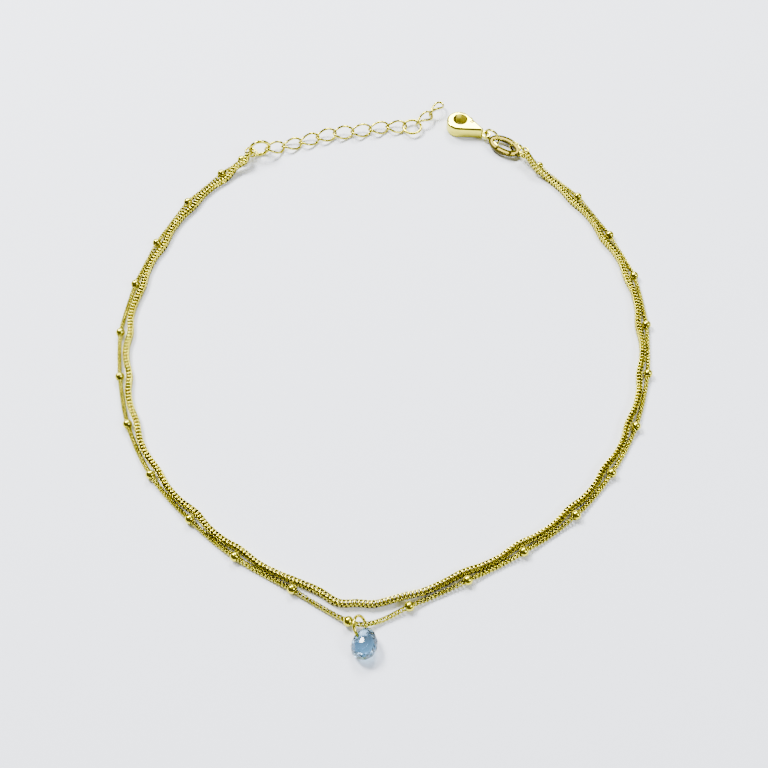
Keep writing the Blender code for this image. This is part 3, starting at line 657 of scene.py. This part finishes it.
def carved(name, base, steps):
    """A mesh after a row of Boolean steps, each an operation and the mesh that it uses."""
    worked = bpy.data.objects.new(name, base)
    bpy.context.scene.collection.objects.link(worked)
    helpers = []
    for operation, tool in steps:
        helper = bpy.data.objects.new(tool.name, tool)
        bpy.context.scene.collection.objects.link(helper)
        step = worked.modifiers.new(tool.name, "BOOLEAN")
        step.operation = operation
        step.solver = "EXACT"
        step.object = helper
        helpers.append(helper)
    bpy.context.view_layer.update()
    mesh = bpy.data.meshes.new_from_object(worked.evaluated_get(bpy.context.evaluated_depsgraph_get()))
    for item in (worked, *helpers):
        bpy.data.objects.remove(item)
    mesh.materials.clear()
    mesh.shade_smooth()
    mesh.set_sharp_from_angle(angle=radians(32))
    return mesh


run = tail[0] - nose_x
shoulder = atan2(tail[1], run) - acos(nose_radius / hypot(tail[1], run))
teardrop = circle((nose_x, 0.0), nose_radius, -shoulder, shoulder, 72, False)
teardrop += circle((tail[0] + tail[1], 0.0), tail[1], pi / 2, 3 * pi / 2, 24, False)
hook_hole = circle(opening[:2], opening[2], count=72)


def band(inner, outer, start, end):
    """The space between two arcs about the lever's pivot."""
    outward = circle(pivot, outer, radians(start), radians(end), 32, False)
    return outward + circle(pivot, inner, radians(end), radians(start), 32, False)


root_radius = arm_start + 2 * clearance
bore = circle(pivot, rivet_radius + clearance, count=32)
through = clasp_thickness * 2
lever_play = 0.09 * MM
eye_outlines = (circle((0, 0), eye_radius), circle((0, 0), eye_bore))
gate = band(arm_start - lever_play, lever_length + lever_play, -100, 10)
fork = circle(pivot, root_radius + lever_play)
body_mesh = carved(
    "lobster_clasp",
    plate("lobster_clasp", [teardrop], clasp_thickness, clasp_rounding, 5),
    (
        ("DIFFERENCE", plate("hook_hole", [hook_hole], through)),
        ("UNION", plate("eye", eye_outlines, eye_thickness, 0.13 * MM, 3)),
        ("DIFFERENCE", plate("gate", [gate], through)),
        ("DIFFERENCE", plate("fork", [fork], root_thickness + 2 * clearance)),
        ("DIFFERENCE", plate("rivet_bore", [bore], through)),
    ),
)
add_piece("lobster_clasp", body_mesh, clasp_plate, "anklet", ("clasp_body",), clasp_place)
root = carved(
    "lever_root",
    plate("lever_root", (teardrop, hook_hole), root_thickness),
    (("INTERSECT", plate("root_disc", [circle(pivot, root_radius)], through)),),
)
tab_angle = radians(-55)
tab_middle = (pivot[0] + root_radius * cos(tab_angle), pivot[1] + root_radius * sin(tab_angle))
lever_mesh = carved(
    "clasp_lever_arm",
    plate("clasp_lever_arm", [teardrop], clasp_thickness, clasp_rounding, 5),
    (
        ("DIFFERENCE", plate("arm_hole", [hook_hole], through)),
        ("INTERSECT", plate("arm", [band(arm_start, lever_length, -92, 0)], through)),
        ("UNION", root),
        ("UNION", plate("thumb_tab", [circle(tab_middle, 0.5 * MM, count=32)], 0.96 * MM, 0.12 * MM, 2)),
        ("DIFFERENCE", plate("lever_bore", [bore], through)),
    ),
)
add_piece("clasp_lever_arm", lever_mesh, lever_plate, "lever", ("clasp_lever",), clasp_place)
rivet_plate = plated_gold("peened_gold_plate", "#CCC23A", "#AC9E28", 0.18, 0.05 * MM, 0.003 * MM)
rivet_mesh = plate("clasp_pin", [circle(pivot, rivet_radius, count=32)], clasp_thickness, 0.05 * MM, 1)
rivet_mesh.shade_smooth()
rivet_mesh.set_sharp_from_angle(angle=radians(40))
add_piece("clasp_pin", rivet_mesh, rivet_plate, "anklet", ("clasp_rivet",), clasp_place)


# Drop: a pear-cut pale-blue crystal glass drop, drilled near its tip and hung on its ring. Its facets are cut
# and polished flat, and the body is tinted nearly evenly.
crystal, tree, shader = new_material("cut_crystal_glass")
where = add_node(tree, "ShaderNodeTexCoord").outputs["Object"]
veil = add_node(tree, "ShaderNodeTexNoise", {"Vector": where, "Scale": 1 / (1.2 * MM), "Detail": 3.0})
tint = add_node(
    tree,
    "ShaderNodeMix",
    {"Factor": veil.outputs["Fac"], 6: linear("#AAD0E6"), 7: linear("#86B3CF")},
    data_type="RGBA",
)
wear = add_node(tree, "ShaderNodeTexNoise", {"Vector": where, "Scale": 1 / (0.15 * MM), "Detail": 2.0})
haze = add_node(tree, "ShaderNodeMapRange", {"Value": wear.outputs["Fac"], "To Min": 0.0, "To Max": 0.05})
tree.links.new(tint.outputs[2], shader.inputs["Base Color"])
tree.links.new(haze.outputs["Result"], shader.inputs["Roughness"])
shader.inputs["IOR"].default_value = 1.62
shader.inputs["Transmission Weight"].default_value = 1.0

stone_size = (4.1 * MM, 5.0 * MM, 2.6 * MM)
stone_sides = 12
stone_cut = (
    (0.18, 1.07, 0),
    (0.52, 0.95, 1),
    (0.84, 0.60, 0),
    (1.00, 0.07, 1),
    (1.00, -0.07, 1),
    (0.80, -0.67, 0),
    (0.40, -1.00, 1),
)
pear_pointedness = 0.3
stone_lean = radians(-16)
stone_hole_radius = 0.57 * MM
stone_hole_at = Vector((-0.80, 5.0 / 2 - 1.45, 0.0))
hole_chord_shift = 0.20 * MM
turns = [pi * step / stone_sides for step in range(2 * stone_sides)]
pear = [(sin(turn) * abs(sin(turn / 2)) ** pear_pointedness, cos(turn)) for turn in turns]
pear_width = max(across for across, _ in pear)
shape = bmesh.new()
for outline, height, between in stone_cut:
    for across, along in pear[between::2]:
        x = stone_size[0] / 2 * outline * across / pear_width
        shape.verts.new((x, stone_size[1] / 2 * outline * along, stone_size[2] / 2 * height))
hull = bmesh.ops.convex_hull(shape, input=shape.verts)
spare = [item for item in hull["geom_interior"] if isinstance(item, bmesh.types.BMVert)]
bmesh.ops.delete(shape, geom=spare, context="VERTS")
bmesh.ops.recalc_face_normals(shape, faces=shape.faces)
stone_mesh = bpy.data.meshes.new("pear_drop")
shape.to_mesh(stone_mesh)
shape.free()
stone_heading = Matrix.Rotation(radians(79 - 90), 4, "Z")
stone_turn = stone_heading @ Matrix.Rotation(stone_lean, 4, "Y")
ring_middle, _, _, ring_radius, _ = rings["drop_ring"]
hang = Vector((0.10, -0.98, -0.17))
tangent = Vector((-0.55, -0.20, 0.81))
hole_place = ring_middle + hang * (ring_radius - hole_chord_shift)
stone_place = hole_place - stone_turn @ stone_hole_at * MM
low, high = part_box("drop_stone")
stone_place.z += (low.z + high.z) / 2 - stone_place.z
stone_matrix = Matrix.Translation(stone_place) @ stone_turn
hole = plate("stone_hole", [circle((0.0, 0.0), stone_hole_radius, count=40)], 2 * stone_size[2])
hole.transform(stone_matrix.inverted() @ placed(hole_place, hang, tangent.cross(hang)))
stone_mesh = carved("pear_drop", stone_mesh, [("DIFFERENCE", hole)])
stone_mesh.set_sharp_from_angle(angle=radians(5))
add_piece("pear_drop", stone_mesh, crystal, "anklet", ("drop_stone",), stone_matrix)
